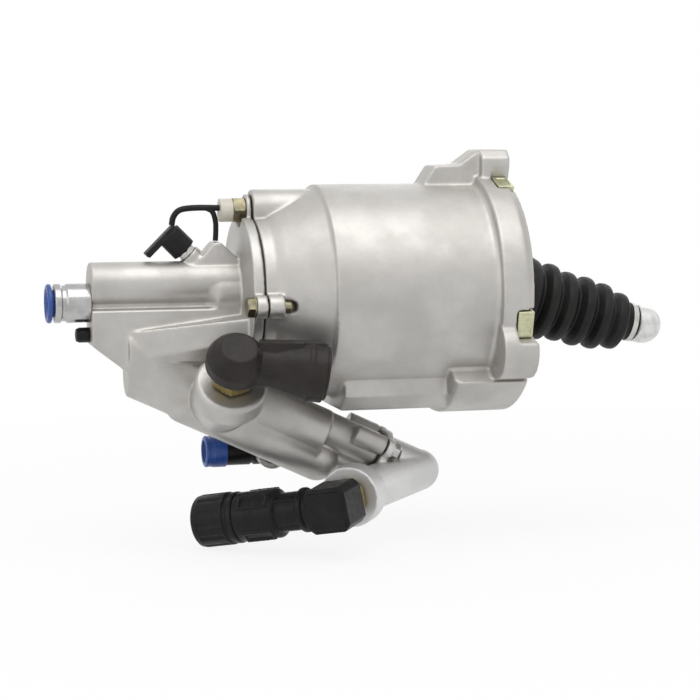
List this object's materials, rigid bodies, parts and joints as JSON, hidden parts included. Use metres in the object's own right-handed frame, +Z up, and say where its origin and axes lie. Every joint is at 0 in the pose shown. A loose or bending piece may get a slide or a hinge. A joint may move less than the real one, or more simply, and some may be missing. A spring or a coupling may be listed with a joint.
{
  "type": "clutch slave cylinder",
  "caption": "Air-assisted clutch slave cylinder: flanged cast barrel, booted pushrod, control valve, push-in elbows and bleed screw.",
  "frame": {"origin": "centre of the mounting face, on the axis of the servo cylinder", "axes": "+X along the thrust of the pushrod, out of the mounting face; +Z up, with the control valve hanging below"},
  "size_m": [0.3615, 0.1496, 0.2252],
  "materials": {
    "cast_alloy": "satin",
    "pale_alloy": "satin",
    "machined_alloy": "satin",
    "zinc_plate": "satin",
    "steel": "satin",
    "nickel": "gloss",
    "brass": "satin",
    "rubber_black": "matte",
    "gasket": "matte",
    "black_plastic": "matte",
    "blue_plastic": "gloss",
    "pale_plastic": "matte"
  },
  "bodies": {
    "root": {"cylinder_housing": "cast_alloy", "seam_gasket": "gasket", "valve_body": "cast_alloy", "seam_bolts": "zinc_plate", "tie_stud": "steel", "tie_nut": "zinc_plate", "end_cover": "zinc_plate", "cover_snap_ring": "steel", "boot": "rubber_black", "boot_clamp": "steel", "preload_spring": "steel", "plunger_seal": "rubber_black", "plunger_bush": "brass", "bleed_screw": "steel", "bleed_cap": "rubber_black", "cap_strap": "rubber_black", "stud_cap": "pale_plastic", "inlet_fitting": "nickel", "inlet_grab_ring": "steel", "inlet_oring": "rubber_black", "vent_plug": "black_plastic", "upper_adapter": "brass", "supply_elbow": "pale_alloy", "supply_gasket": "gasket", "supply_screws": "steel", "lower_adapter": "brass", "side_fitting": "black_plastic", "side_oring": "rubber_black", "control_spring": "steel", "valve_spring": "steel", "valve_sleeve": "brass", "valve_circlip": "steel"},
    "piston": {"air_piston": "machined_alloy", "piston_seal": "rubber_black", "guide_ring": "pale_plastic", "plunger": "steel", "plunger_circlip": "steel", "ball_socket": "pale_plastic", "socket_clip": "steel"},
    "pushrod": {"pushrod": "steel", "boot_band": "steel"},
    "control_piston": {"control_piston": "machined_alloy", "control_seal": "rubber_black"},
    "inlet_valve": {"inlet_valve": "pale_plastic"},
    "inlet_collet": {"inlet_collet": "blue_plastic"},
    "side_collet": {"side_collet": "blue_plastic"},
    "upper_elbow": {"elbow_upper": "black_plastic", "upper_end_ring": "black_plastic"},
    "lower_elbow": {"elbow_lower": "black_plastic", "lower_end_nut": "black_plastic"}
  },
  "joints": [
    {"name": "piston_stroke", "type": "slide", "parent": "root", "child": "piston", "axis": [1, 0, 0], "range_m": [0, 0.05], "deforming": ["preload_spring", "boot"]},
    {"name": "pushrod_swivel", "type": "hinge", "parent": "piston", "child": "pushrod", "pos_m": [-0.03, 0, 0], "axis": [0, 1, 0], "range_deg": [-22.8, 0], "deforming": ["boot"]},
    {"name": "control_slide", "type": "slide", "parent": "root", "child": "control_piston", "axis": [0.9063, 0, -0.4226], "range_m": [0, 0.003], "deforming": ["control_spring"]},
    {"name": "inlet_valve_slide", "type": "slide", "parent": "root", "child": "inlet_valve", "axis": [0.9063, 0, -0.4226], "range_m": [0, 0.002], "deforming": ["valve_spring"]},
    {"name": "inlet_collet_press", "type": "slide", "parent": "root", "child": "inlet_collet", "axis": [1, 0, 0], "range_m": [0, 0.0012]},
    {"name": "side_collet_press", "type": "slide", "parent": "root", "child": "side_collet", "axis": [1, 0, 0], "range_m": [0, 0.0012]},
    {"name": "upper_elbow_swivel", "type": "hinge", "parent": "root", "child": "upper_elbow", "pos_m": [-0.1679, -0.044, -0.0453], "axis": [0, -0.7193, 0.6947], "range_deg": [-110, 0]},
    {"name": "lower_elbow_swivel", "type": "hinge", "parent": "root", "child": "lower_elbow", "pos_m": [-0.097, -0.026, -0.1147], "axis": [-0.6133, -0.785, -0.0872], "range_deg": [0, 100]}
  ]
}
